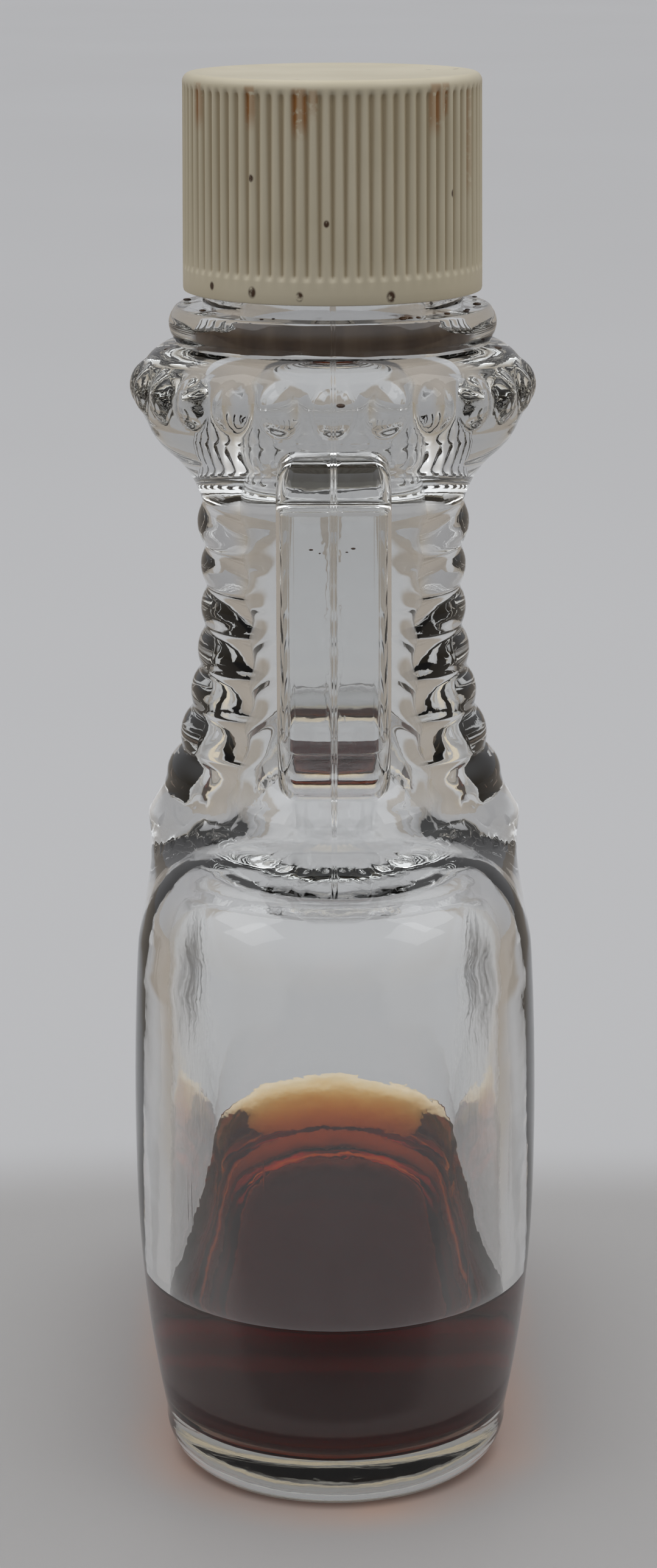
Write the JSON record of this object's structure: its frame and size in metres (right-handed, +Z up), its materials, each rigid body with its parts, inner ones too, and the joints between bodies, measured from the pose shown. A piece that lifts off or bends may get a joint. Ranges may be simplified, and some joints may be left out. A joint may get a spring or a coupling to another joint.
{
  "type": "extract bottle",
  "caption": "Small clear glass extract bottle with oblong body, ringed neck, beaded collar, loop handle and ribbed screw cap, part filled with dark liquid.",
  "frame": {"origin": "centre of the flat foot, on the axis of the neck, where the bottle rests", "axes": "+Z up along the neck; the body is deep along Y, and the loop handle is on the -Y side"},
  "size_m": [0.0366, 0.069, 0.1222],
  "materials": {
    "bottle_glass": "clear pressed glass",
    "extract_liquid": "dark amber liquid",
    "cap_plastic": "satin moulded plastic"
  },
  "bodies": {
    "root": {"bottle": "bottle_glass", "extract": "extract_liquid", "cap": "cap_plastic"}
  },
  "joints": []
}
